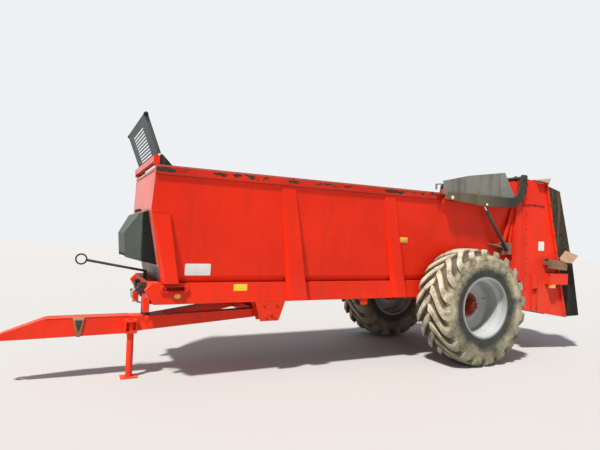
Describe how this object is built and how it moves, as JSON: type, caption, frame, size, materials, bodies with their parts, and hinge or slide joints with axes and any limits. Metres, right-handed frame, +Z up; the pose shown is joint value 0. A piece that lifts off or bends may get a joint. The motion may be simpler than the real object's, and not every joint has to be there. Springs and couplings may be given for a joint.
{
  "type": "manure spreader",
  "caption": "Towed single-axle manure spreader with a long body, moving floor, guillotine door on lift arms, upright beaters, hinged drawbar and jack.",
  "frame": {"origin": "on the ground under the middle of the machine's box", "axes": "-X towards the drawbar and tractor, +X to the rear, -Y to the machine's left, +Z up"},
  "size_m": [9.8234, 3.06, 3.4892],
  "materials": {
    "red_paint": "bright orange red machine paint, dusty and chipped along its edges",
    "dark_paint": "dark grey green paint, streaked by weather",
    "worn_steel": "bare steel, scoured and rusty",
    "rusty_steel": "brown rusted bracket with remains of paint",
    "rubber_buffer": "black rubber buffer, dusty",
    "black_metal": "blackened metal with grease and dirt",
    "tyre": "black rubber under pale dry dust",
    "silver_paint": "silver wheel paint, slightly dusty",
    "grey_sheet": "grey sheet, stained and streaked",
    "rod_chrome": "polished cylinder rod",
    "flap": "dark flap caked with brown dirt",
    "tan_paint": "primer coloured sheet, faded and dirty",
    "lamp": "amber lamp lens"
  },
  "bodies": {
    "chassis": {"left_wall": "red_paint", "right_wall": "red_paint", "floor": "worn_steel", "moving_floor": "worn_steel", "floor_shafts": "worn_steel", "headboard": "red_paint", "guard_grille": "dark_paint", "left_rail": "red_paint", "right_rail": "red_paint", "left_posts": "red_paint", "right_posts": "red_paint", "left_beam": "red_paint", "right_beam": "red_paint", "crossmembers": "red_paint", "drawbar": "red_paint", "drawbar_buffers": "rubber_buffer", "tow_eye": "black_metal", "hinge_brackets": "red_paint", "drive_cover": "dark_paint", "front_bearing": "black_metal", "driveline": "black_metal", "valve_block": "black_metal", "hose_holder": "black_metal", "jack_guide": "red_paint", "axle_beam": "red_paint", "arm_mounts": "red_paint", "cylinder_feet": "rusty_steel", "end_plates": "red_paint", "rear_frame": "red_paint", "side_plates": "red_paint", "rear_flaps": "flap", "lamp_boards": "tan_paint", "lamp_boxes": "red_paint", "lamps": "lamp", "beater_beams": "red_paint"},
    "left_wheel": {"left_tyre": "tyre", "left_rim": "silver_paint", "left_hub": "red_paint"},
    "right_wheel": {"right_tyre": "tyre", "right_rim": "silver_paint", "right_hub": "red_paint"},
    "arms": {"lift_arms": "black_metal", "arm_sheets": "grey_sheet"},
    "links": {"door_links": "black_metal"},
    "door": {"door": "red_paint"},
    "barrels": {"barrels": "black_metal"},
    "rods": {"rods": "rod_chrome"},
    "jack": {"jack_leg": "red_paint"},
    "left_beater": {"left_beater": "red_paint", "left_spiral": "red_paint"},
    "right_beater": {"right_beater": "red_paint", "right_spiral": "red_paint"}
  },
  "joints": [
    {"name": "left_wheel_spin", "type": "hinge", "parent": "chassis", "child": "left_wheel", "pos_m": [2.06829, -1.185, 0.95], "axis": [0, 1, 0], "continuous": true},
    {"name": "right_wheel_spin", "type": "hinge", "parent": "chassis", "child": "right_wheel", "pos_m": [2.06829, 1.185, 0.95], "axis": [0, 1, 0], "continuous": true},
    {"name": "left_beater_spin", "type": "hinge", "parent": "chassis", "child": "left_beater", "pos_m": [4.20329, -0.5, 0.83], "axis": [-0.1392, 0, 0.9903], "continuous": true},
    {"name": "right_beater_spin", "type": "hinge", "parent": "chassis", "child": "right_beater", "pos_m": [4.20329, 0.5, 0.83], "axis": [-0.1392, 0, 0.9903], "continuous": true},
    {"name": "arm_lift", "type": "hinge", "parent": "chassis", "child": "arms", "pos_m": [1.6983, 0, 2.745], "axis": [0, -1, 0], "range_deg": [0, 24]},
    {"name": "link_swing", "type": "hinge", "parent": "arms", "child": "links", "pos_m": [3.4783, 0, 3.24], "axis": [0, -1, 0], "range_deg": [0, 23.44]},
    {"name": "door_slide", "type": "slide", "parent": "chassis", "child": "door", "axis": [0, 0, 1], "range_m": [0, 0.77594]},
    {"name": "barrel_swing", "type": "hinge", "parent": "chassis", "child": "barrels", "pos_m": [3.1483, 0, 1.899], "axis": [0, -1, 0], "range_deg": [-7.88, 0]},
    {"name": "rod_slide", "type": "slide", "parent": "barrels", "child": "rods", "axis": [-0.6301, 0, 0.7765], "range_m": [0, 0.30257]},
    {"name": "jack_slide", "type": "slide", "parent": "chassis", "child": "jack", "axis": [0, 0, 1], "range_m": [-0.1, 0.4]}
  ],
  "couplings": [
    {"joint": "right_beater_spin", "follows": "left_beater_spin", "ratio": -1},
    {"joint": "link_swing", "follows": "arm_lift", "ratio": 0.97619},
    {"joint": "door_slide", "follows": "arm_lift", "m_per_rad": 1.8519},
    {"joint": "barrel_swing", "follows": "arm_lift", "ratio": -0.328},
    {"joint": "rod_slide", "follows": "arm_lift", "m_per_rad": 0.72185}
  ]
}
